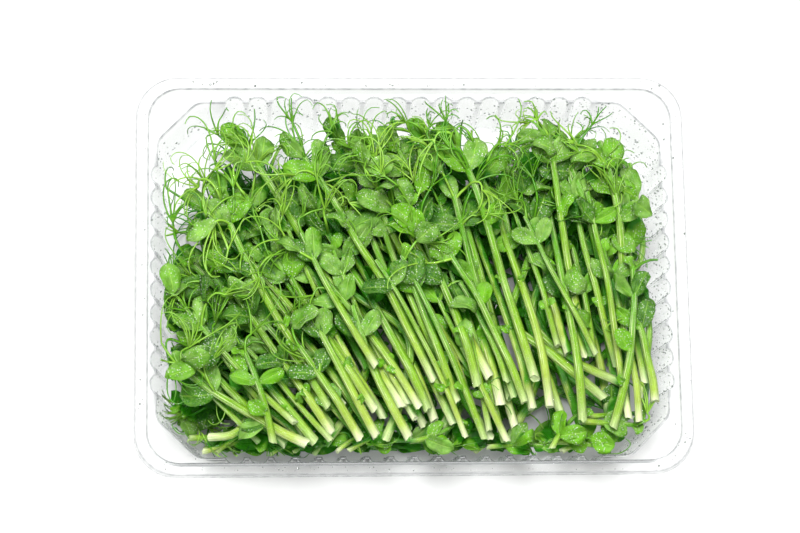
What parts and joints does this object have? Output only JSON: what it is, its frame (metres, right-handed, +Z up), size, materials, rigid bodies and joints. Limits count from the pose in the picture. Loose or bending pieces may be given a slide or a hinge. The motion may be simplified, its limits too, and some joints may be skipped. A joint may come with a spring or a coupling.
{
  "type": "pea microgreens",
  "caption": "Loose heap of cut pea shoots with leaves and curling tendrils, lying in a clear fluted food tray.",
  "frame": {"origin": "on the underside of the tray, at the middle of its footprint", "axes": "+X along the tray's long side, +Z up out of its mouth, -Y towards the side where the cut ends lie"},
  "size_m": [0.187, 0.137, 0.0476],
  "materials": {
    "pea_shoot": "satin",
    "clear_tray": "gloss",
    "water": "polished"
  },
  "bodies": {
    "root": {"shoot_01": "pea_shoot", "shoot_02": "pea_shoot", "shoot_03": "pea_shoot", "shoot_04": "pea_shoot", "shoot_05": "pea_shoot", "shoot_06": "pea_shoot", "shoot_07": "pea_shoot", "shoot_08": "pea_shoot", "shoot_09": "pea_shoot", "shoot_10": "pea_shoot", "shoot_11": "pea_shoot", "shoot_12": "pea_shoot", "shoot_13": "pea_shoot", "shoot_14": "pea_shoot", "shoot_15": "pea_shoot", "shoot_16": "pea_shoot", "shoot_17": "pea_shoot", "shoot_18": "pea_shoot", "shoot_19": "pea_shoot", "shoot_20": "pea_shoot", "shoot_21": "pea_shoot", "shoot_22": "pea_shoot", "shoot_23": "pea_shoot", "shoot_24": "pea_shoot", "shoot_25": "pea_shoot", "shoot_26": "pea_shoot", "shoot_27": "pea_shoot", "shoot_28": "pea_shoot", "shoot_29": "pea_shoot", "shoot_30": "pea_shoot", "shoot_31": "pea_shoot", "shoot_32": "pea_shoot", "shoot_pair_01": "pea_shoot", "shoot_pair_02": "pea_shoot", "shoot_pair_03": "pea_shoot", "shoot_pair_04": "pea_shoot", "shoot_pair_05": "pea_shoot", "shoot_pair_06": "pea_shoot", "shoot_pair_07": "pea_shoot", "shoot_pair_08": "pea_shoot", "shoot_pair_09": "pea_shoot", "shoot_pair_10": "pea_shoot", "shoot_pair_11": "pea_shoot", "shoot_pair_12": "pea_shoot", "shoot_pair_13": "pea_shoot", "shoot_pair_14": "pea_shoot", "shoot_pair_15": "pea_shoot", "shoot_pair_16": "pea_shoot", "shoot_pair_17": "pea_shoot", "shoot_pair_18": "pea_shoot", "shoot_pair_19": "pea_shoot", "shoot_pair_20": "pea_shoot", "shoot_pair_21": "pea_shoot", "shoot_pair_22": "pea_shoot", "shoot_pair_23": "pea_shoot", "shoot_pair_24": "pea_shoot", "tray": "clear_tray"}
  },
  "joints": []
}
